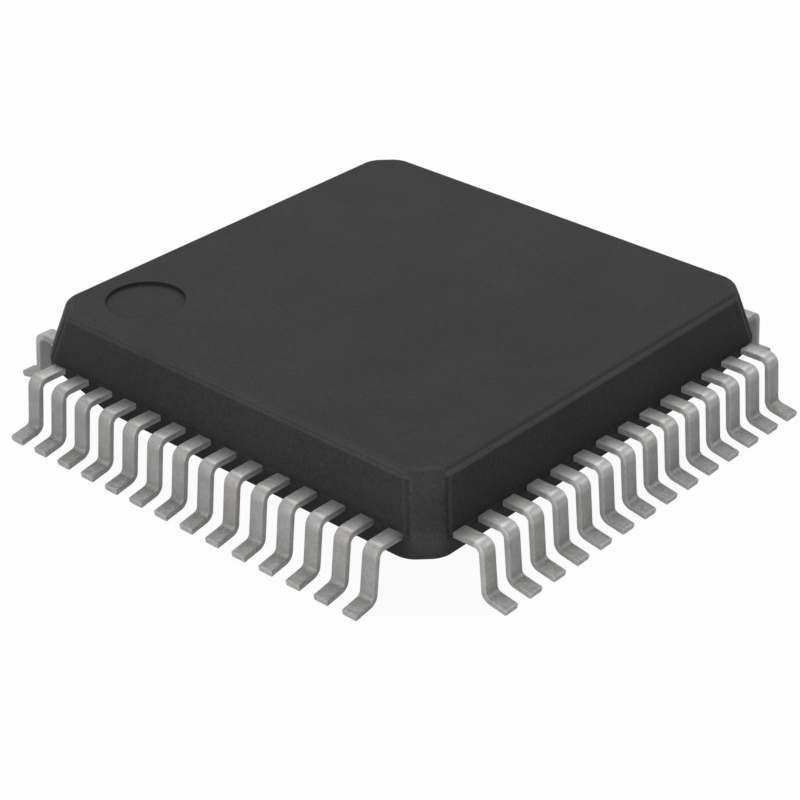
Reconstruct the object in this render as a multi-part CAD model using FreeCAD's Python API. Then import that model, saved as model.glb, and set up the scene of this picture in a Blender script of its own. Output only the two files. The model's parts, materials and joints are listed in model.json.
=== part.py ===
import FreeCAD, Part
import math
import os

from FreeCAD import Vector

# A quad flat pack: a square moulded body with gull-wing leads on all four sides.
# Millimetres. The origin is on the solder plane, under the centre of the body, with +Z up.
# The pin 1 dimple is near the corner where X and Y are both negative.

# Leads
lead_pitch = 0.65
side_margin = 0.74           # least distance from the middle of a row's last lead to the next side
lead_width = 0.315
lead_thickness = 0.12
lead_span = 12.30            # toe to toe, across two opposite rows
shoulder_top = 1.17          # height of the leads' upper face where they leave the body
sole_length = 0.53           # from the toe to the corner of the heel, before it is rounded
leg_lean = 5.5               # degrees from upright
foot_slope = 10.0            # degrees that the foot falls towards the toe
bend_radius = 0.10           # inside radius of both bends

# Inner fingers of the leads, inside the body
straight_root = 0.20         # stretch behind the body's side before a finger turns
finger_tip_width = 0.18
finger_gap = 0.40            # from the die pad's edge to the row of finger tips

# Moulded body
body_width = 9.95            # across the parting band
body_height = 2.105
standoff = 0.10              # from the solder plane to the underside
band_above = 0.04            # how far the upright parting band goes on above the leads
corner_chamfer = 0.46        # leg of the chamfer at each corner
corner_blend = 0.45          # radius where a chamfer meets a side
upper_draft = 14.5           # degrees, above the parting band
lower_draft = 33.6           # degrees, below it
rim_radius = 0.13            # round between the sides and the top

# Pin 1 dimple
dimple_radius = 0.75
dimple_depth = 0.07
dimple_x = -3.50
dimple_y = -3.38

# Die pad and its tie bars
pad_width = 4.60
pad_downset = 0.24           # how far the pad lies below the leads
tie_bar_width = 0.20
tie_bar_bury = 0.30          # moulding compound between a tie bar's end and the corner
tie_bar_drop = 0.35          # length over which a tie bar falls to the pad
tie_bar_gap = 0.194          # from the last finger tip to the tie bar, along the row

# Silicon die and bond wires
die_width = 3.40
die_thickness = 0.28
wire_diameter = 0.03         # side of the square that stands for a wire's round section
wire_rise = 0.15             # height of a wire's bend above the die
wire_edge = 0.09             # from the die's edge to its row of wires
wire_row_gap = 0.18          # from a row's last wire on the die to the next side's row
wire_tip_edge = 0.16         # from a finger's tip to the middle of its wire's foot

body_half = body_width / 2
shoulder_base = shoulder_top - lead_thickness
band_top = shoulder_top + band_above
body_top = standoff + body_height
pad_top = shoulder_top - pad_downset
pad_base = pad_top - lead_thickness
die_top = pad_top + die_thickness
tip_row = pad_width / 2 + finger_gap
wire_row = die_width / 2 - wire_edge
diagonal = math.sqrt(2)      # of a square with sides of 1

# The rows hold as many leads as fit, and the fingers and wires fan in between the tie bars.
leads_per_side = math.floor((body_width - 2 * side_margin) / lead_pitch) + 1
last_tip = tip_row - tie_bar_width / diagonal - tie_bar_gap - finger_tip_width / 2
finger_tip_pitch = 2 * last_tip / (leads_per_side - 1)
wire_pitch = 2 * (wire_row - wire_row_gap) / (leads_per_side - 1)

os.makedirs("parts", exist_ok=True)


def save(name, shape):
    shape.exportStep("parts/" + name + ".step")


def turned(shape, degrees):
    """A copy of a shape, turned about the package's upright axis."""
    copy = shape.copy()
    copy.rotate(Vector(0, 0, 0), Vector(0, 0, 1), degrees)
    return copy


def rounded_wire(corners, radii):
    """A closed wire through the corners, each one rounded by a tangent arc where its radius isn't 0."""
    count = len(corners)
    entries = []
    exits = []
    middles = []
    for i, corner in enumerate(corners):
        back = (corners[i - 1] - corner).normalize()
        ahead = (corners[(i + 1) % count] - corner).normalize()
        half_angle = back.getAngle(ahead) / 2
        run = radii[i] / math.tan(half_angle)
        bisector = (back + ahead).normalize()
        entries.append(corner + back * run)
        exits.append(corner + ahead * run)
        middles.append(corner + bisector * (radii[i] / math.sin(half_angle) - radii[i]))
    edges = []
    for i in range(count):
        if radii[i] > 0:
            edges.append(Part.Arc(entries[i], middles[i], exits[i]).toShape())
        edges.append(Part.LineSegment(exits[i], entries[(i + 1) % count]).toShape())
    return Part.Wire(edges)


# One lead. It is drawn for the row on the -Y side, with y as the distance from the centre,
# and is then laid on the package.

def strip_corners():
    """The gull wing's side view: its lower corners, then its upper ones, in the YZ plane."""
    lean = math.radians(leg_lean)
    slope = math.radians(foot_slope)
    root = body_half - straight_root
    foot_normal = Vector(0, math.sin(slope), math.cos(slope))
    toe_base = Vector(0, lead_span / 2 - lead_thickness * math.sin(slope), 0)
    heel = toe_base + Vector(0, -math.cos(slope), math.sin(slope)) * sole_length
    knee = heel + Vector(0, -math.tan(lean), 1) * (shoulder_base - heel.z)
    root_base = Vector(0, root, shoulder_base)
    # The upper side is a strip's thickness away from the lower one, so its corners
    # lie on the bisectors of the bends.
    knee_turn = math.radians(90 - leg_lean)
    heel_turn = knee_turn - slope
    outward = lead_thickness * math.tan(knee_turn / 2)
    knee_top = knee + Vector(0, outward, lead_thickness)
    inward = lead_thickness * math.tan(heel_turn / 2)
    heel_top = heel + foot_normal * lead_thickness + Vector(0, math.cos(slope), -math.sin(slope)) * inward
    toe_top = toe_base + foot_normal * lead_thickness
    root_top = Vector(0, root, shoulder_top)
    return [root_base, knee, heel, toe_base, toe_top, heel_top, knee_top, root_top]


def gull_wing():
    """The bent strip from the root outwards, centred on x = 0."""
    outer = bend_radius + lead_thickness
    radii = [0, bend_radius, outer, 0, 0, bend_radius, outer, 0]
    profile = Part.Face(rounded_wire(strip_corners(), radii))
    strip = profile.extrude(Vector(lead_width, 0, 0))
    strip.translate(Vector(-lead_width / 2, 0, 0))
    return strip


def finger(offset, tip_offset):
    """The flat inner part of a lead, from its root to its tip near the die pad."""
    root = body_half - straight_root
    half = lead_width / 2
    tip_half = finger_tip_width / 2
    outline = [Vector(-half, root, shoulder_base),
               Vector(tip_offset - offset - tip_half, tip_row, shoulder_base),
               Vector(tip_offset - offset + tip_half, tip_row, shoulder_base),
               Vector(half, root, shoulder_base)]
    face = Part.Face(Part.makePolygon(outline + outline[:1]))
    return face.extrude(Vector(0, 0, lead_thickness))


def place_in_row(index, pitch):
    return (index - (leads_per_side - 1) / 2) * pitch


def lead(number):
    """Lead 1 is beside the dimple, and the numbers run anticlockwise seen from above."""
    side, index = divmod(number - 1, leads_per_side)
    offset = -place_in_row(index, lead_pitch)
    tip_offset = -place_in_row(index, finger_tip_pitch)
    solid = gull_wing().fuse(finger(offset, tip_offset)).removeSplitter()
    solid.translate(Vector(offset, 0, 0))
    return turned(solid, 180 + 90 * side)


# Die pad, tie bars and die

def tie_bar():
    """One tie bar along +X: level at the leads' height, then falling to the pad's corner."""
    end = (body_width - corner_chamfer) / diagonal - tie_bar_bury
    pad_corner = pad_width / diagonal
    start = pad_corner - tie_bar_width
    crest = pad_corner + tie_bar_drop
    side_view = [Vector(start, 0, pad_base), Vector(pad_corner, 0, pad_base),
                 Vector(crest, 0, shoulder_base), Vector(end, 0, shoulder_base),
                 Vector(end, 0, shoulder_top), Vector(crest, 0, shoulder_top),
                 Vector(pad_corner, 0, pad_top), Vector(start, 0, pad_top)]
    face = Part.Face(Part.makePolygon(side_view + side_view[:1]))
    bar = face.extrude(Vector(0, tie_bar_width, 0))
    bar.translate(Vector(0, -tie_bar_width / 2, 0))
    return bar


def die_pad():
    corner = Vector(-pad_width / 2, -pad_width / 2, pad_base)
    plate = Part.makeBox(pad_width, pad_width, lead_thickness, corner)
    bars = [turned(tie_bar(), 45 + 90 * k) for k in range(4)]
    return plate.multiFuse(bars).removeSplitter()


def silicon_die():
    corner = Vector(-die_width / 2, -die_width / 2, pad_top)
    return Part.makeBox(die_width, die_width, die_thickness, corner)


def wire_side_view(length):
    """A wire along +X from x = 0: up from the die, then sloping to the finger, where it ends flat."""
    half = wire_diameter / 2
    bend = max(die_top, shoulder_top) + wire_rise
    slope = (bend - shoulder_top) / length
    thick = half * math.sqrt(1 + slope * slope)
    foot = thick / slope
    return [Vector(-half, 0, die_top), Vector(half, 0, die_top),
            Vector(half, 0, bend - thick - slope * half), Vector(length - foot, 0, shoulder_top),
            Vector(length + foot, 0, shoulder_top), Vector(-half, 0, bend + thick + slope * half)]


def bond_wire(number):
    """The wire from the die to one lead's finger."""
    side, index = divmod(number - 1, leads_per_side)
    start = Vector(place_in_row(index, wire_pitch), -wire_row, 0)
    end = Vector(place_in_row(index, finger_tip_pitch), -tip_row - wire_tip_edge, 0)
    run = end - start
    side_view = wire_side_view(run.Length)
    wire = Part.Face(Part.makePolygon(side_view + side_view[:1])).extrude(Vector(0, wire_diameter, 0))
    wire.translate(Vector(0, -wire_diameter / 2, 0))
    wire.rotate(Vector(0, 0, 0), Vector(0, 0, 1), math.degrees(math.atan2(run.y, run.x)))
    wire.translate(start)
    return turned(wire, 90 * side)


# Moulded body

def body_ring(inset, height):
    """The body's outline, a chamfered square with blended corners, drawn in by an inset."""
    half = body_half - inset
    near = half - corner_chamfer
    corners = [Vector(half, -near, height), Vector(half, near, height),
               Vector(near, half, height), Vector(-near, half, height),
               Vector(-half, near, height), Vector(-half, -near, height),
               Vector(-near, -half, height), Vector(near, -half, height)]
    return rounded_wire(corners, [corner_blend] * len(corners))


def true_plane(side):
    """A lofted side that is flat, as a plane that faces the same way. Any other face stays as it is."""
    plane = side.findPlane()
    if not plane or isinstance(side.Surface, Part.Plane):
        return side
    face = Part.Face(plane, side.OuterWire)
    if face.normalAt(0, 0).dot(side.normalAt(0, 0)) < 0:
        face.reverse()
    return face


def drafted(low, high):
    """The solid between two outlines."""
    sides = Part.makeLoft([low, high], True, True).Faces
    return Part.Solid(Part.Shell([true_plane(side) for side in sides]))


def upper_half():
    inset = (body_top - band_top) * math.tan(math.radians(upper_draft))
    half = drafted(body_ring(0, band_top), body_ring(inset, body_top))
    top = max(half.Faces, key=lambda face: face.CenterOfMass.z)
    return half.makeFillet(rim_radius, top.Edges)


def body_form():
    """The body without its pockets: lower half, parting band and upper half."""
    inset = (shoulder_base - standoff) * math.tan(math.radians(lower_draft))
    lower = drafted(body_ring(inset, standoff), body_ring(0, shoulder_base))
    band = Part.Face(body_ring(0, shoulder_base)).extrude(Vector(0, 0, band_top - shoulder_base))
    dimple_floor = Vector(dimple_x, dimple_y, body_top - dimple_depth)
    dimple = Part.makeCylinder(dimple_radius, dimple_depth * 2, dimple_floor)
    return lower.fuse(band).fuse(upper_half()).cut(dimple)


leads = [lead(number) for number in range(1, 4 * leads_per_side + 1)]
pad = die_pad()
die = silicon_die()
wires = Part.makeCompound([bond_wire(number) for number in range(1, 4 * leads_per_side + 1)])
body = body_form().cut(leads + [pad, die] + wires.Solids)

for number, shape in enumerate(leads, start=1):
    save("lead_%02d" % number, shape)
save("die_pad", pad)
save("silicon_die", die)
save("bond_wires", wires)
save("moulded_body", body)
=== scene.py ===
# %% [markdown]
# # A quad flat pack chip
#
# The chip is a square of black moulding compound with 56 bent leads, 14 on each side. The solids
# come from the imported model, and this lesson gives them the rounded edges, the grain and the light
# that make a small thing look real.


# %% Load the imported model
import json
import math

import bmesh
import bpy
from mathutils import Matrix, Vector

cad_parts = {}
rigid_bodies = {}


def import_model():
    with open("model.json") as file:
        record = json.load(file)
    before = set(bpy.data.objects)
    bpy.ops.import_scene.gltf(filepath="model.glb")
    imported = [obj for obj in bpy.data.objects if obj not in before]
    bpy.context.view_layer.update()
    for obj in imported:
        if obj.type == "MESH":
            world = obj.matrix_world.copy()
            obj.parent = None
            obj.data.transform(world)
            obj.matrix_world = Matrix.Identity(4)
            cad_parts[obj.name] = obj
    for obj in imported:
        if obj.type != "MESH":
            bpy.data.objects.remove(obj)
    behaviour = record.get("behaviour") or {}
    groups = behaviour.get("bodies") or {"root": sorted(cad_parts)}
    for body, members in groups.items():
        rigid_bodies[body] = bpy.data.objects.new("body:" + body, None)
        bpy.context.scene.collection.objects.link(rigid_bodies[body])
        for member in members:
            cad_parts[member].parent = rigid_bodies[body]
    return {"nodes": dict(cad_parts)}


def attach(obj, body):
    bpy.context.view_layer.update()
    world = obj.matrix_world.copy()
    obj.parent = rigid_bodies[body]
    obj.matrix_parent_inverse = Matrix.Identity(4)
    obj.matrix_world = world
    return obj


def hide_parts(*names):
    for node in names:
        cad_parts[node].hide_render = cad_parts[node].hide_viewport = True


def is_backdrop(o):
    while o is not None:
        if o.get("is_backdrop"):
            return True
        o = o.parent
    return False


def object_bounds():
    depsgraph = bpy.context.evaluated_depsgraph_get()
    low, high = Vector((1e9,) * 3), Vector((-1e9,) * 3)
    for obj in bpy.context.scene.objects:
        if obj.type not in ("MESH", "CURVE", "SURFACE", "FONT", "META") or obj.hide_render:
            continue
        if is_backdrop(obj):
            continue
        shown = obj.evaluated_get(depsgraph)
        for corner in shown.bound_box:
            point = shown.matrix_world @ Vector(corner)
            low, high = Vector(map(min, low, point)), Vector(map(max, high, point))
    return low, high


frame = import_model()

solid_box = [list(corner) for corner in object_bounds()]
print("packed nodes:", len(frame["nodes"]))
print("they reach, in mm:", [round(v * 1000, 3) for v in solid_box[1]])


# %% [markdown]
# ## Working in millimetres
#
# A chip is 12 mm across, and Blender's operators ignore lengths near a thousandth of a millimetre
# when they are written in metres. So each mesh is built in millimetres and scaled to metres at the
# end, which leaves the object itself at the origin with no scale of its own.


# %% A finished mesh becomes an object
MILLIMETRE = 0.001


def place(mesh_builder, name, finish):
    """Turns a bmesh in millimetres into an object in metres, with its faces pointing outwards."""
    bmesh.ops.recalc_face_normals(mesh_builder, faces=mesh_builder.faces)
    bmesh.ops.scale(mesh_builder, vec=(MILLIMETRE,) * 3, verts=mesh_builder.verts)
    mesh = bpy.data.meshes.new(name)
    mesh_builder.to_mesh(mesh)
    mesh_builder.free()
    mesh.materials.append(finish)
    piece = bpy.data.objects.new(name, mesh)
    bpy.context.scene.collection.objects.link(piece)
    return piece


# %% [markdown]
# ## Writing shader maths as expressions
#
# A procedural finish is mostly arithmetic on noise. One small class stands for a node's output and
# turns Python's operators into Math nodes, so that a formula can be read as a formula. Every other
# node comes from one method.


# %% The helper classes
class Value:
    """The output of a node. Arithmetic on it adds Math nodes to its tree."""

    def __init__(self, nodes, socket):
        self.nodes = nodes
        self.socket = socket

    def maths(self, operation, first, second):
        return self.nodes.node("ShaderNodeMath", {"operation": operation}, [first, second])

    def __add__(self, other):
        return self.maths("ADD", self, other)

    def __sub__(self, other):
        return self.maths("SUBTRACT", self, other)

    def __rsub__(self, other):
        return self.maths("SUBTRACT", other, self)

    def __mul__(self, other):
        return self.maths("MULTIPLY", self, other)

    def __truediv__(self, other):
        return self.maths("DIVIDE", self, other)

    def largest(self, other):
        return self.maths("MAXIMUM", self, other)

    def size(self):
        """The value without its sign."""
        return self.maths("ABSOLUTE", self, 0.0)

    def fraction(self):
        """What is left of the value past the last whole number."""
        return self.maths("FRACT", self, 0.0)

    __radd__ = __add__
    __rmul__ = __mul__


class Nodes:
    """A node tree, and the one method that adds nodes to it."""

    def __init__(self, tree):
        self.tree = tree

    def node(self, kind, settings, inputs, output=0):
        """Adds a node. Inputs are a list in socket order or a dict by socket name."""
        node = self.tree.nodes.new(kind)
        for name, value in settings.items():
            setattr(node, name, value)
        named = inputs.items() if isinstance(inputs, dict) else enumerate(inputs)
        for key, value in named:
            self.plug(node.inputs[key], value)
        return Value(self, node.outputs[output])

    def plug(self, socket, value):
        if isinstance(value, Value):
            self.tree.links.new(value.socket, socket)
        else:
            socket.default_value = value

    def on_show(self):
        """1 for the rays that show what is round the chip: seen, reflected or seen through it."""
        camera, glossy, transmission = [
            self.node("ShaderNodeLightPath", {}, [], "Is %s Ray" % kind)
            for kind in ("Camera", "Glossy", "Transmission")]
        return camera.largest(glossy).largest(transmission)


class Finish(Nodes):
    """A material with one Principled shader."""

    def __init__(self, name):
        self.material = bpy.data.materials.new(name)
        self.material.use_nodes = True
        super().__init__(self.material.node_tree)
        self.surface = self.tree.nodes["Principled BSDF"]
        self.position = self.node("ShaderNodeTexCoord", {}, [], "Object")

    def noise(self, per_millimetre, detail, roughness=0.5):
        """Noise between about 0 and 1 with so many features in a millimetre."""
        return self.node("ShaderNodeTexNoise", {}, {
            "Vector": self.position, "Scale": per_millimetre / MILLIMETRE,
            "Detail": detail, "Roughness": roughness})

    def smooth(self, value, low, high):
        """0 below one bound and 1 above the other, with a soft change between them."""
        return self.node("ShaderNodeMapRange", {"interpolation_type": "SMOOTHSTEP"},
                         [value, low, high])

    def stripe(self, value, middle, half_width):
        """1 in the middle of a narrow range of values and 0 outside it, with faded edges."""
        full, gone = 0.4 * half_width, 1.2 * half_width
        return 1 - self.smooth((value - middle).size(), full, gone)

    def coordinate(self, axis):
        """Where a point lies along an axis, in millimetres."""
        return self.node("ShaderNodeSeparateXYZ", {}, [self.position], axis) / MILLIMETRE

    def distance(self, centre):
        """How far a point is from an upright line through a centre, in millimetres."""
        level = self.node("ShaderNodeVectorMath", {"operation": "MULTIPLY"},
                          [self.position, (1, 1, 0)])
        return self.node("ShaderNodeVectorMath", {"operation": "DISTANCE"},
                         [level, centre * MILLIMETRE], "Value") / MILLIMETRE

    def blend(self, share, first, second):
        """A mix of two colours. A Mix node has its sockets for colours at these numbers."""
        factor, colour_a, colour_b, result = 0, 6, 7, 2
        return self.node("ShaderNodeMix", {"data_type": "RGBA"},
                         {factor: share, colour_a: first, colour_b: second}, result)

    def dress(self, **inputs):
        """Sets the Principled shader's sockets, with underscores for the spaces in their names."""
        for name, value in inputs.items():
            self.plug(self.surface.inputs[name.replace("_", " ")], value)
        return self.material


def grey(level, warmth=0.0):
    """A linear grey, a little redder and less blue when it is warm."""
    return (level * (1 + warmth), level, level * (1 - warmth), 1)


# %% [markdown]
# ## Moulding compound
#
# The body is epoxy filled with fine glass spheres. It is close to black, but the filler gives it a
# dull grey bloom with a grain of a few hundredths of a millimetre, and broad, faint clouds. The
# mould's surface was spark eroded, so the grain is also a bump.
#
# The mould also leaves marks, and light and shade are painted on the compound too. The corner faces
# are painted lighter where light falls on them, most near the top and near the band. Each sunk line
# where an insert met the mould carries painted shade, with a painted highlight beside it. The
# rounded rim carries a painted highlight, and painted shade lies in a crease along its foot on the
# two sides that face Y. The sides are smoother than the top. The lower half is painted darker as
# shade, and its corners lighter, as light from the table falls on them. Mottled flash lies on the
# parting band, painted shade darkens the sides just above it, and painted shade lies round the
# dimple's brink.
#
# Such marks could be painted on an image. Here they are masks that follow from where a point lies,
# in the same sizes as the mesh, so they are sharp close up and move when a size changes.


# %% Sizes of the body, as in the solids
QUARTER_TURN = math.radians(90)

body_half = 4.975
body_top = 2.205
body_base = 0.10
band_base = 1.05
band_top = 1.21
corner_cut = 0.46
corner_blend = 0.45
upper_draft = math.radians(14.5)
lower_draft = math.radians(33.6)
rim_radius = 0.13
rim_setback = rim_radius * math.tan((QUARTER_TURN - upper_draft) / 2)
rim_foot = body_top - rim_radius * (1 - math.sin(upper_draft))
top_half = body_half - (body_top - band_top) * math.tan(upper_draft) - rim_setback
dimple_centre = Vector((-3.50, -3.38, 0))
dimple_radius = 0.75
dimple_depth = 0.07
print("half width of the flat top in mm:", round(top_half, 3))


# %% Where the places on the body begin and end
# Each pair is the start and the end of a soft change, in millimetres.
flat_end = (top_half - 0.02, top_half + 0.02)
side_top = (rim_foot - 0.05, rim_foot)
lower_top = (band_base - 0.03, band_base + 0.01)
corner_end = (corner_cut - 0.06, corner_cut + 0.02)
low_corner_end = (corner_cut - 0.30, corner_cut + 0.30)
painted_light_corner_top = (1.6, 2.05)
painted_light_corner_band = (band_base, 1.4)
shade_above_band_top = (band_top, band_top + 0.55)
next_side = (-0.1, 0.1)

# Each pair is the middle and the half width of a stripe, in millimetres.
stripes = {
    "shade_in_joint": (corner_cut - 0.01, 0.04),
    "painted_highlight": (corner_cut + 0.09, 0.045),
    "rim_highlight_y": (rim_foot + 0.022, 0.085),
    "rim_highlight_x": (rim_foot + 0.018, 0.055),
    "shade_in_crease": (rim_foot + 0.022, 0.018),
    "shade_line_above_band": (band_top + 0.02, 0.05),
    "flash": (band_base + 0.06, 0.12),
    "shade_in_dimple": (dimple_radius, 0.022),
}
print("narrowest stripe in mm:", 2 * min(half_width for middle, half_width in stripes.values()))


# %% How strong the marks of the mould and the painted light and shade are
# A mark above 0 lightens the compound by that share of its brightness, and one below 0 darkens it.
mould_and_light_strength = {
    # Painted light on the corner faces, strongest near the top and near the band.
    "corner": 0.08, "painted_light_corner_top": 0.34, "painted_light_corner_band": 0.25,
    # Painted light on the lower corners, and painted shade on the rest of the lower half.
    "painted_light_low_corner": 0.65, "lower": -0.40,
    # Painted shade in the joints of the corner faces, and a painted highlight beside each.
    "shade_in_joint": -0.12, "painted_highlight": 0.22,
    # Painted highlights on the rim, and painted shade in the crease at its foot.
    "rim_highlight_y": 0.75, "rim_highlight_x": 1.30, "shade_in_crease": -0.38,
    # Painted shade on the sides above the band, and the flash's own mottling.
    "shade_above_band": -0.16, "shade_line_above_band": -0.12, "flash": 1.6,
    # Painted shade round the dimple's brink.
    "shade_in_dimple": -0.40,
}
# How much weaker the grain is on the sides and the rim, and how much more on the rim alone.
calm_skin, calm_rim = 0.18, 0.20
print("marks of the mould:", len(mould_and_light_strength))


# %% The marks of the mould, and the painted light and shade
def mould_marks_and_light(finish):
    """A factor near 1 for the brightness with the marks and the painted light and shade, how much
    weaker the grain is, and the lower half.
    """
    x, y, z = [finish.coordinate(axis) for axis in "XYZ"]
    from_diagonal = (x.size() - y.size()).size()
    reach = x.size().largest(y.size()).largest((x.size() + y.size() + corner_cut) * 0.5)
    faces_y = finish.smooth(y.size() - x.size(), *next_side)
    outside = finish.smooth(reach, *flat_end)
    sides = 1 - finish.smooth(z, *side_top)
    skin = sides.largest(outside)
    lower = 1 - finish.smooth(z, *lower_top)
    upper = sides - lower
    corner = 1 - finish.smooth(from_diagonal, *corner_end)
    painted_light_low_corner = 1 - finish.smooth(from_diagonal, *low_corner_end)
    corner_face = corner * (1 - lower) * skin
    long_rim = outside * (1 - corner)
    long_side = upper * (1 - corner)
    mottling = finish.noise(5.0, detail=3.0) - 0.5
    places = {
        # Painted light on the corner face.
        "corner": corner_face,
        "painted_light_corner_top": corner_face * finish.smooth(z, *painted_light_corner_top),
        "painted_light_corner_band": corner_face * upper * (1 - finish.smooth(z, *painted_light_corner_band)),
        # Painted light on the lower corners, and painted shade on the rest of the lower half.
        "painted_light_low_corner": lower * painted_light_low_corner,
        "lower": lower * (1 - painted_light_low_corner),
        # Painted shade in each corner joint, and a painted highlight beside it.
        "shade_in_joint": upper * finish.stripe(from_diagonal, *stripes["shade_in_joint"]),
        "painted_highlight": upper * finish.stripe(from_diagonal, *stripes["painted_highlight"]),
        # Painted highlights on the rim.
        "rim_highlight_y": long_rim * faces_y * finish.stripe(z, *stripes["rim_highlight_y"]),
        "rim_highlight_x": long_rim * (1 - faces_y) * finish.stripe(z, *stripes["rim_highlight_x"]),
        # Painted shade in the crease at the rim's foot.
        "shade_in_crease": long_rim * faces_y * finish.stripe(z, *stripes["shade_in_crease"]),
        # Painted shade on the sides above the band.
        "shade_above_band": long_side * (1 - finish.smooth(z, *shade_above_band_top)),
        "shade_line_above_band": long_side * finish.stripe(z, *stripes["shade_line_above_band"]),
        "flash": sides * (1 - corner) * finish.stripe(z, *stripes["flash"]) * mottling,
        # Painted shade round the dimple's brink.
        "shade_in_dimple": (1 - sides) * finish.stripe(finish.distance(dimple_centre), *stripes["shade_in_dimple"]),
    }
    brightness = 1 + sum(mould_and_light_strength[name] * place for name, place in places.items())
    return brightness, calm_skin * skin + calm_rim * (skin - sides), lower


# %% The epoxy finish
darkest_epoxy, lightest_epoxy = 0.008, 0.061
# The levels of its noise at which a pale speckle begins and is full.
speckle_noise = (0.62, 0.78)


def moulding_compound():
    finish = Finish("moulding_compound")
    marks, calm, lower = mould_marks_and_light(finish)
    grain = finish.noise(17, detail=2.0)
    clouds = finish.noise(0.7, detail=3.0)
    speckle = finish.smooth(finish.noise(24, detail=1.0), *speckle_noise)
    tone = 0.41 + (0.70 - calm) * (grain - 0.5) + 0.25 * (clouds - 0.5) + 0.2 * speckle
    # The marks bring painted light and shade as well as the mould's own marks.
    level = (darkest_epoxy + (lightest_epoxy - darkest_epoxy) * tone) * marks
    colour = finish.node("ShaderNodeCombineColor", {}, [level, level, level])
    height = (grain + 0.5 * speckle) * (1 - 1.6 * calm)
    relief = finish.node("ShaderNodeBump", {}, {
        "Strength": 0.30, "Distance": 0.004 * MILLIMETRE, "Height": height}, "Normal")
    return finish.dress(Base_Color=colour, Roughness=0.56 + 0.16 * grain + 0.25 * lower,
                        IOR=1.15, Normal=relief)


epoxy = moulding_compound()
print("epoxy nodes:", len(epoxy.node_tree.nodes))


# %% [markdown]
# ## Matte tin plate
#
# The leads are plated with matte tin. It is a metal with a crystalline grain, so its reflections
# are wide and slightly mottled, never mirror-like. A fully metallic shader would look polished
# under the white surroundings, so this one is only partly metallic, and its plain part has no
# gloss. The grain changes the colour, the roughness and the bump together, as it does on the real
# plating.
#
# A highlight is painted on the outside of the upper bend, and light on the sheared sides past the
# shoulder. The cut toe is brighter too. Shade is painted on the shoulder close to the body and on
# the foot and the lower bend, which are also rougher and more mottled. The painted highlight, the
# painted light on the sheared sides and the painted shade near the body are stronger on the two rows
# that face X. The places follow from the sizes of the leads, so those come first.


# %% Sizes of the leads, as in the solids
leads_per_side = 14
lead_pitch = 0.65
lead_width = 0.315
lead_thickness = 0.12
toe_reach = 6.15
shoulder_top = 1.17
sole_length = 0.53
leg_lean = math.radians(5.5)
foot_slope = math.radians(10.0)
bend_radius = 0.10
edge_round = 0.022
toe_round = 0.015
root = body_half - 0.20
tip_row = 2.70
tip_pitch = 0.35
tip_width = 0.18
middle_radius = bend_radius + lead_thickness / 2
shoulder_middle = shoulder_top - lead_thickness / 2
print("rows of", leads_per_side, "leads, toe to toe in mm:", 2 * toe_reach)


# %% Where the marks and the painted light and shade of the plating are, and how strong
# Each pair is the start and the end of a soft change, in millimetres.
bend_reach = (5.37, 5.47)
bend_height = (0.90, 1.02)
foot_height = (0.16, 0.42)
sheared_edge = (lead_width / 2 - 0.016, lead_width / 2 - 0.004)
cut_end = (toe_reach - 0.035, toe_reach - 0.015)
shoulder_shade = (body_half, body_half + 0.40)

# What each mark adds to the plating's tone, painted light and shade among them, on the rows that
# face Y and on those that face X.
plating_and_light_strength = {
    # A painted highlight on the outside of the upper bend.
    "painted_highlight": (0.15, 0.32),
    # Painted light on the sheared sides past the shoulder.
    "sheared_side_light": (0.04, 0.24),
    "cut": (0.35, 0.35),
    # Painted shade on the foot and the lower bend.
    "foot": (-0.09, -0.09),
    # Painted shade on the shoulder close to the body.
    "shade_near_body": (-0.08, -0.16),
}
print("marks of the plating:", len(plating_and_light_strength))


# %% The marks of the plating, and the painted light and shade
def lead_marks_and_light(finish):
    """What the marks and the painted light and shade add to the plating's tone at each place, and 1
    for the foot.
    """
    x, y, z = [finish.coordinate(axis) for axis in "XYZ"]
    reach = x.size().largest(y.size())
    along_row = x.size() + y.size() - reach
    # A row is an even number of leads, so each lead's middle is halfway between two whole pitches.
    from_middle = ((along_row / lead_pitch).fraction() - 0.5).size() * lead_pitch
    faces_x = finish.smooth(x.size() - y.size(), *next_side)
    past_shoulder = finish.smooth(reach, *bend_reach)
    foot = 1 - finish.smooth(z, *foot_height)
    places = {
        # A painted highlight on the outside of the upper bend.
        "painted_highlight": past_shoulder * finish.smooth(z, *bend_height),
        # Painted light on the sheared sides past the shoulder.
        "sheared_side_light": past_shoulder * finish.smooth(from_middle, *sheared_edge),
        "cut": finish.smooth(reach, *cut_end),
        # Painted shade on the foot and the lower bend.
        "foot": foot,
        # Painted shade on the shoulder close to the body.
        "shade_near_body": 1 - finish.smooth(reach, *shoulder_shade),
    }
    marks = 0
    for name, place in places.items():
        on_y, on_x = plating_and_light_strength[name]
        marks = marks + (on_y + (on_x - on_y) * faces_x) * place
    return marks, foot


# %% The tin finish
dark_tin, light_tin = grey(0.14, 0.02), grey(0.43, 0.012)
# The levels of its noise at which a pit begins and is full.
pit_noise = (0.60, 0.80)


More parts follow.
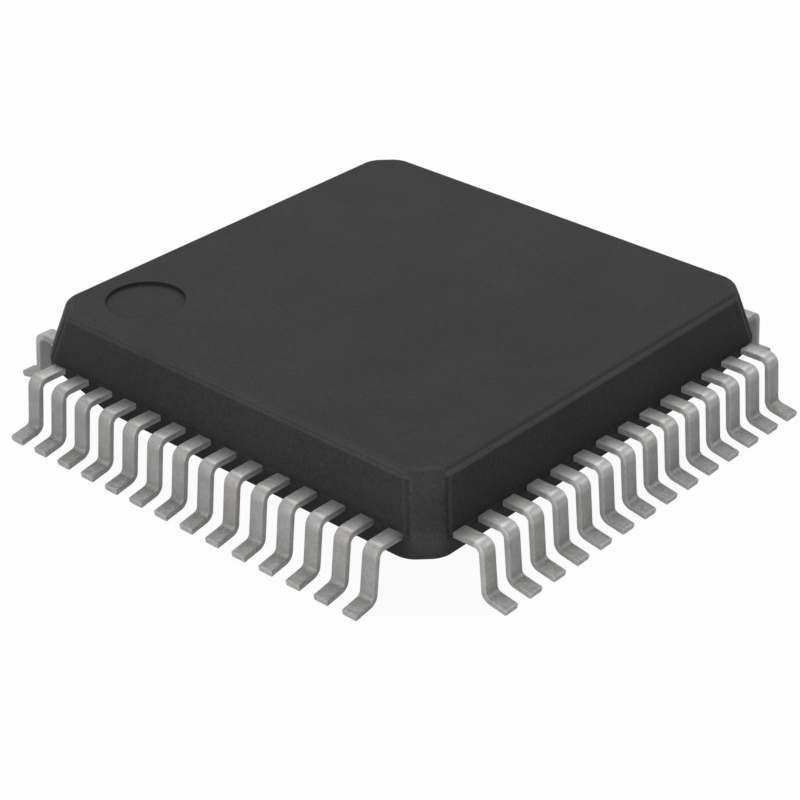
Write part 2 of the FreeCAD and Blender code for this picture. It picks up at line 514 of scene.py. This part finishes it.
def matte_tin():
    finish = Finish("matte_tin")
    marks, foot = lead_marks_and_light(finish)
    crystals = finish.noise(17, detail=3.0, roughness=0.6)
    stains = finish.noise(2.2, detail=2.0)
    pits = finish.smooth(finish.noise(30, detail=1.0), *pit_noise)
    # The marks add painted highlights, painted light and painted shade to the tone.
    tone = 0.5 + (0.6 + 0.35 * foot) * (crystals - 0.5) + 0.4 * (stains - 0.5) + marks
    colour = finish.blend(tone, dark_tin, light_tin)
    relief = finish.node("ShaderNodeBump", {}, {
        "Strength": 0.5, "Distance": 0.006 * MILLIMETRE, "Height": crystals - 0.6 * pits}, "Normal")
    roughness = 0.36 + 0.14 * crystals + 0.08 * pits + 0.08 * foot
    return finish.dress(Base_Color=colour, Metallic=0.4, Roughness=roughness,
                        Specular_IOR_Level=0.0, Normal=relief)


tin = matte_tin()
print("tin nodes:", len(tin.node_tree.nodes))


# %% [markdown]
# ## The parts inside
#
# The die pad, the die and the wires are sealed in the body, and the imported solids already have
# their shape. They keep their meshes and only get a finish: bare copper alloy, polished silicon
# and gold.


# %% Finishes of the sealed parts
def bare_metal(name, dark, light, roughness):
    finish = Finish(name)
    rolling = finish.noise(12, detail=2.0)
    colour = finish.blend(rolling, (*dark, 1), (*light, 1))
    return finish.dress(Base_Color=colour, Metallic=1.0, Roughness=roughness + 0.1 * rolling)


def silicon():
    finish = Finish("silicon")
    circuits = finish.noise(8, detail=4.0)
    colour = finish.blend(circuits, (0.05, 0.055, 0.07, 1), (0.12, 0.12, 0.13, 1))
    return finish.dress(Base_Color=colour, Roughness=0.12 + 0.1 * circuits, Metallic=0.4)


sealed = {
    "die_pad": bare_metal("copper_alloy", (0.70, 0.36, 0.22), (0.80, 0.45, 0.30), 0.30),
    "silicon_die": silicon(),
    "bond_wires": bare_metal("gold", (0.85, 0.58, 0.22), (0.95, 0.70, 0.30), 0.18),
}
for node, material in sealed.items():
    slots = frame["nodes"][node].data.materials
    slots.clear()
    slots.append(material)
print("sealed nodes finished:", sorted(sealed))


# %% [markdown]
# ## One lead
#
# A lead is stamped from sheet and bent over an anvil. The quickest true way to make it is the same:
# draw the strip's section once, with rounded corners, and sweep it along the bends. Extrude makes
# the straight runs and spin makes the arcs, always from the last face.


# %% The moves that sweep and round a section
def whole(face):
    """A face with its edges and corners. Extruded together, they leave no wall inside the solid."""
    return [face, *face.edges, *face.verts]


def run_on(builder, face, step):
    """Extrudes the last face along a straight step and returns the new last face."""
    grown = bmesh.ops.extrude_face_region(builder, geom=whole(face))["geom"]
    moved = [v for v in grown if isinstance(v, bmesh.types.BMVert)]
    bmesh.ops.translate(builder, vec=step, verts=moved)
    return next(f for f in grown if isinstance(f, bmesh.types.BMFace))


def bend_on(builder, face, centre, angle, steps=9):
    """Spins the last face about a line along X and returns the new last face."""
    last = bmesh.ops.spin(builder, geom=whole(face), cent=centre, axis=(1, 0, 0), dvec=(0, 0, 0),
                          angle=angle, steps=steps, use_merge=False,
                          use_duplicate=False)["geom_last"]
    return next(f for f in last if isinstance(f, bmesh.types.BMFace))


def round_off(builder, geom, offset, segments, affect="EDGES"):
    """Bevels edges, or corners. The operator's own defaults differ from the editor's."""
    bmesh.ops.bevel(builder, geom=geom, offset=offset, offset_type="OFFSET", segments=segments,
                    profile=0.5, affect=affect, material=-1)


# %% Where the bends lie on the strip's middle line
def middle_line():
    """The straight runs of the middle line, in the YZ plane, and the sharp corners between them."""
    along = Vector((0, math.cos(foot_slope), -math.sin(foot_slope)))
    toe = Vector((0, toe_reach - lead_thickness * math.sin(foot_slope) / 2,
                  lead_thickness * math.cos(foot_slope) / 2))
    heel_turn = QUARTER_TURN - leg_lean - foot_slope
    heel = toe - along * (sole_length - lead_thickness / 2 * math.tan(heel_turn / 2))
    rise = shoulder_middle - heel.z
    knee = heel + Vector((0, -math.tan(leg_lean) * rise, rise))
    return knee, heel, toe, along, heel_turn


knee, heel, toe, along_foot, heel_turn = middle_line()
knee_turn = QUARTER_TURN - leg_lean
print("knee, heel and toe in mm:", [[round(c, 3) for c in p[1:]] for p in (knee, heel, toe)])


# %% A lead, from its finger tip inside the body to its toe
def lead_strip(finger_shift):
    """The strip for one lead, along +Y from the centre, with its finger tip moved along X."""
    builder = bmesh.new()
    corners = bmesh.ops.create_grid(builder, x_segments=1, y_segments=1, size=0.5)["verts"]
    bmesh.ops.rotate(builder, verts=corners, cent=(0, 0, 0),
                     matrix=Matrix.Rotation(QUARTER_TURN, 3, "X"))
    bmesh.ops.scale(builder, vec=(lead_width, 1, lead_thickness), verts=corners)
    bmesh.ops.translate(builder, vec=(0, root, shoulder_middle), verts=corners)
    round_off(builder, builder.verts[:], edge_round, segments=3, affect="VERTICES")
    section = builder.faces[:][0]

    down_leg = (heel - knee).normalized()
    out_of_leg = Vector((0, -down_leg.z, down_leg.y))
    knee_reach = middle_radius * math.tan(knee_turn / 2)
    heel_reach = middle_radius * math.tan(heel_turn / 2)
    bend_start = Vector((0, knee.y - knee_reach, knee.z))
    last = run_on(builder, section, bend_start - Vector((0, root, shoulder_middle)))
    last = bend_on(builder, last, bend_start - Vector((0, 0, middle_radius)), -knee_turn)
    last = run_on(builder, last, heel - knee - down_leg * (knee_reach + heel_reach))
    heel_centre = heel - down_leg * heel_reach + out_of_leg * middle_radius
    last = bend_on(builder, last, heel_centre, heel_turn)
    toe_face = run_on(builder, last, toe - heel - along_foot * heel_reach)
    round_off(builder, list(toe_face.edges), toe_round, segments=2)

    cap = min(builder.faces, key=lambda face: face.calc_center_median().y)
    tip = run_on(builder, cap, Vector((finger_shift, tip_row - root, 0)))
    bmesh.ops.scale(builder, vec=(tip_width / lead_width, 1, 1), verts=tip.verts,
                    space=Matrix.Translation((-finger_shift, 0, 0)))
    for face in builder.faces:
        face.smooth = True
    return builder


# %% All 56 leads
def lead_piece(number):
    """Lead 1 is beside the dimple, and the numbers run anticlockwise seen from above."""
    side, index = divmod(number - 1, leads_per_side)
    place_in_row = (leads_per_side - 1) / 2 - index
    builder = lead_strip(place_in_row * (tip_pitch - lead_pitch))
    bmesh.ops.translate(builder, vec=(place_in_row * lead_pitch, 0, 0), verts=builder.verts)
    bmesh.ops.rotate(builder, verts=builder.verts, cent=(0, 0, 0),
                     matrix=Matrix.Rotation((2 + side) * QUARTER_TURN, 3, "Z"))
    piece = place(builder, "plated_lead_%02d" % number, tin)
    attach(piece, "root")
    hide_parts("lead_%02d" % number)
    return piece


leads = [lead_piece(number) for number in range(1, 4 * leads_per_side + 1)]
print("leads:", len(leads), "with", len(leads[0].data.polygons), "faces each")


# %% [markdown]
# ## The moulded body
#
# The body is one outline carried up and down: a square with its corners cut and blended, a narrow
# upright band where the two halves of the mould meet at the leads, and a draft above and below so
# that the body leaves the mould. Every corner moves by the same amount on both axes, which keeps
# the corner cut equally long at every height, as on the real body.


# %% Outline and stages
def outline_face(builder):
    """The face at the foot of the parting band."""
    bmesh.ops.create_grid(builder, x_segments=1, y_segments=1, size=body_half)
    round_off(builder, builder.verts[:], corner_cut, segments=1, affect="VERTICES")
    round_off(builder, builder.verts[:], corner_blend * math.tan(QUARTER_TURN / 4), segments=6,
              affect="VERTICES")
    bmesh.ops.translate(builder, vec=(0, 0, band_base), verts=builder.verts)
    return builder.faces[:][0]


def carry(builder, face, rise, draft):
    """Extrudes a face up or down and draws its outline in, by the draft's slope."""
    carried = run_on(builder, face, Vector((0, 0, rise)))
    inset = abs(rise) * math.tan(draft)
    for vertex in carried.verts:
        vertex.co.x -= math.copysign(inset, vertex.co.x)
        vertex.co.y -= math.copysign(inset, vertex.co.y)
    return carried


def edges_at(builder, height):
    """The edges of a level outline."""
    return [edge for edge in builder.edges
            if all(math.isclose(vertex.co.z, height, abs_tol=1e-4) for vertex in edge.verts)]


# %% Body without its dimple
crisp_round = 0.012
beside_edge = 0.03


def body_form():
    """The body's closed form, with a level ring of edges beside each bend of its sides."""
    builder = bmesh.new()
    face = outline_face(builder)
    band = carry(builder, face, band_top - band_base, 0)
    carry(builder, band, body_top - band_top, upper_draft)
    foot = min(builder.faces, key=lambda f: f.calc_center_median().z)
    carry(builder, foot, body_base - band_base, lower_draft)
    round_off(builder, edges_at(builder, body_top), rim_setback, segments=8)
    crisp = [edge for height in (band_base, band_top, body_base)
             for edge in edges_at(builder, height)]
    round_off(builder, crisp, crisp_round, segments=2)
    for height in (body_base + beside_edge, band_base - beside_edge, band_top + beside_edge,
                   body_top - rim_radius):
        everything = builder.verts[:] + builder.edges[:] + builder.faces[:]
        bmesh.ops.bisect_plane(builder, geom=everything, plane_co=(0, 0, height),
                               plane_no=(0, 0, 1))
    return builder


form = body_form()
form.normal_update()
print("body faces:", len(form.faces), "edges that aren't shared by two faces:",
      sum(len(edge.link_faces) != 2 for edge in form.edges))
form.free()


# %% [markdown]
# ## Marks of the mould
#
# The mould is made of inserts, and each joint between two of them leaves a fine line on the body:
# one runs along the foot of the rim on the two sides that face Y, and one down each edge of a
# corner face. Each is a strip of faces that is inset and sunk by less than a hundredth of a
# millimetre.


# %% Lines where the inserts met
rim_strip_height = 0.02
corner_strip_reach = 0.04


def on_mould_joint(face):
    """True for a face of the rim's lowest strip, or of the strip at an edge of a corner face."""
    centre = face.calc_center_median()
    past_diagonal = abs(centre.y) - abs(centre.x)
    on_rim = rim_foot < centre.z < rim_foot + rim_strip_height and past_diagonal > corner_cut
    at_edge = abs(abs(past_diagonal) - corner_cut) < corner_strip_reach
    return on_rim or (at_edge and band_top < centre.z < rim_foot)


def mark_joints(builder):
    strips = [face for face in builder.faces if on_mould_joint(face)]
    bmesh.ops.inset_region(builder, faces=strips, thickness=0.004, depth=-0.005,
                           use_even_offset=True)
    return len(strips)


# %% [markdown]
# ## The pin 1 dimple
#
# The dimple is a shallow round pocket. Instead of a boolean, the top face is taken off and filled
# again around a circle, and the circle is extruded down. The large flat faces are shaded flat, with
# a narrow ring round each, so that the rounded rim runs into them without a shadow on the flat.


# %% The dimple
brink_bevel = 0.008
floor_hollow = 0.045


def widest_level_face(builder):
    """The largest face that looks up."""
    builder.normal_update()
    looks_up = [face for face in builder.faces if face.normal.z > 0.99]
    return max(looks_up, key=lambda face: face.calc_area())


def press_dimple(builder):
    top = widest_level_face(builder)
    top_level = top.calc_center_median().z
    outline = list(top.edges)
    bmesh.ops.delete(builder, geom=[top], context="FACES_ONLY")
    circle = bmesh.ops.create_circle(builder, cap_ends=False, segments=96,
                                     radius=dimple_radius)["verts"]
    bmesh.ops.translate(builder, vec=dimple_centre + Vector((0, 0, top_level)), verts=circle)
    brink = list({edge for vertex in circle for edge in vertex.link_edges})
    bmesh.ops.triangle_fill(builder, use_beauty=True, edges=outline + brink)
    wall = bmesh.ops.extrude_edge_only(builder, edges=brink)["geom"]
    floor_points = [v for v in wall if isinstance(v, bmesh.types.BMVert)]
    floor_edges = [e for e in wall if isinstance(e, bmesh.types.BMEdge)
                   and all(v in floor_points for v in e.verts)]
    bmesh.ops.translate(builder, vec=(0, 0, -dimple_depth), verts=floor_points)
    bmesh.ops.contextual_create(builder, geom=floor_edges)
    round_off(builder, brink, brink_bevel, segments=2)
    round_off(builder, floor_edges, floor_hollow, segments=4)


# %% Shading, and the body as a piece
def shade(builder, flat_area=0.3, ring=0.02):
    """Smooth faces, apart from the large flats inside their narrow rings and the filled top."""
    for face in builder.faces:
        face.smooth = len(face.verts) != 3
    flats = [face for face in builder.faces if face.calc_area() > flat_area and face.smooth]
    bmesh.ops.inset_individual(builder, faces=flats, thickness=ring, use_even_offset=True)
    for face in flats:
        face.smooth = False


def body_piece():
    builder = body_form()
    print("strips on the joints of the mould:", mark_joints(builder))
    bmesh.ops.inset_region(builder, faces=[widest_level_face(builder)], thickness=0.05,
                           use_even_offset=True)
    press_dimple(builder)
    shade(builder)
    piece = place(builder, "epoxy_body", epoxy)
    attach(piece, "root")
    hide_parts("moulded_body")
    return piece


body = body_piece()
body_size = [round(d * 1000, 3) for d in body.dimensions]
print("body:", len(body.data.polygons), "faces, size in mm:", body_size)


# %% [markdown]
# ## White table and soft light
#
# The chip lies on a white table under soft light. What the camera and the metal see of the table is
# mostly a glow of strength 1, so that it stays white, and the rest is a plain white surface that
# keeps the chip's shadow. The world is white behind it in the same way, but lights nothing.
#
# Five square lamps light the chip: a large one above and behind it, and four smaller ones round it.
# Their places and strengths were chosen so that each face is about as bright as in the photograph.


# %% The table
table_half = 400
glow_share = 0.95


def table_finish():
    finish = Finish("white_table")
    white = finish.node("ShaderNodeBsdfDiffuse", {}, {"Color": grey(0.85)})
    glow = finish.node("ShaderNodeEmission", {}, {"Color": grey(1.0), "Strength": 1.0})
    mixed = finish.node("ShaderNodeMixShader", {}, [finish.on_show() * glow_share, white, glow])
    finish.plug(finish.tree.nodes["Material Output"].inputs["Surface"], mixed)
    return finish.material


def table():
    builder = bmesh.new()
    bmesh.ops.create_grid(builder, x_segments=1, y_segments=1, size=table_half)
    top = place(builder, "table", table_finish())
    top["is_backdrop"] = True
    return top


print("table, in mm:", round(table().dimensions.x * 1000))


# %% The world
def surroundings():
    """White where it shows, and no light of its own."""
    world = bpy.data.worlds.new("surroundings")
    world.use_nodes = True
    sky = Nodes(world.node_tree)
    background = sky.tree.nodes["Background"]
    sky.plug(background.inputs["Color"], grey(1.0))
    sky.plug(background.inputs["Strength"], sky.on_show())
    return world


bpy.context.scene.world = surroundings()
print("world:", bpy.context.scene.world.name)


# %% Soft lamps
def direction(azimuth, elevation):
    """A vector of length 1, at an azimuth from -Y towards +X and an elevation, in degrees."""
    turn, lift = math.radians(azimuth), math.radians(elevation)
    return Vector((math.sin(turn) * math.cos(lift), -math.cos(turn) * math.cos(lift),
                   math.sin(lift)))


def soft_lamp(name, azimuth, elevation, distance, size, radiance):
    """A square lamp, in millimetres, that faces the chip. Its power follows from its size."""
    back = direction(azimuth, elevation)
    lamp = bpy.data.lights.new(name, "AREA")
    lamp.shape = "SQUARE"
    lamp.size = size * MILLIMETRE
    lamp.energy = radiance * math.pi * lamp.size ** 2
    holder = bpy.data.objects.new(name, lamp)
    holder.location = back * distance * MILLIMETRE
    holder.rotation_euler = back.to_track_quat("Z", "Y").to_euler()
    bpy.context.scene.collection.objects.link(holder)


soft_lamp("above_behind", azimuth=222, elevation=54, distance=260, size=167, radiance=5.7)
soft_lamp("left", azimuth=-5, elevation=22, distance=70, size=45, radiance=1.65)
soft_lamp("front", azimuth=30, elevation=20, distance=34, size=22, radiance=3.3)
soft_lamp("right", azimuth=143, elevation=34, distance=70, size=20, radiance=8.0)
soft_lamp("far_left", azimuth=-50, elevation=39, distance=70, size=20, radiance=3.0)


# %% [markdown]
# ## The camera
#
# The photograph looks down at the corner between the two front rows, from 30 degrees above the
# table. Its direction, distance and focal length were fitted to the toes of the 28 leads in view.


# %% Camera
azimuth, elevation, roll = 41.6257, 30.0333, math.radians(-0.0659)
distance, aside, below, aim_height = 43.394, 0.0719, 0.0992, 0.015
back = direction(azimuth, elevation)
level_right = direction(azimuth + 90, 0)
level_up = back.cross(level_right)
right = math.cos(roll) * level_right + math.sin(roll) * level_up
up = math.cos(roll) * level_up - math.sin(roll) * level_right
stand = back * distance - right * aside - up * below + Vector((0, 0, aim_height))

camera_data = bpy.data.cameras.new("camera")
camera_data.lens = 100.645
camera_data.sensor_width = 36.0
camera_data.clip_start = 0.001
camera_data.clip_end = 10.0
camera = bpy.data.objects.new("camera", camera_data)
turned = Matrix((right, up, back)).transposed().to_4x4()
camera.matrix_world = Matrix.Translation(stand * MILLIMETRE) @ turned
bpy.context.scene.collection.objects.link(camera)
bpy.context.scene.camera = camera
bpy.context.scene.view_settings.view_transform = "Standard"
print("camera at, in mm:", [round(c * 1000, 2) for c in camera.location])


# %% Sizes, and the end
visual_box = [list(corner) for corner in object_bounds()]
for name, box in (("solids", solid_box), ("visual model", visual_box)):
    print(name, "reach, in mm:", [round(v * 1000, 3) for v in box[1]])
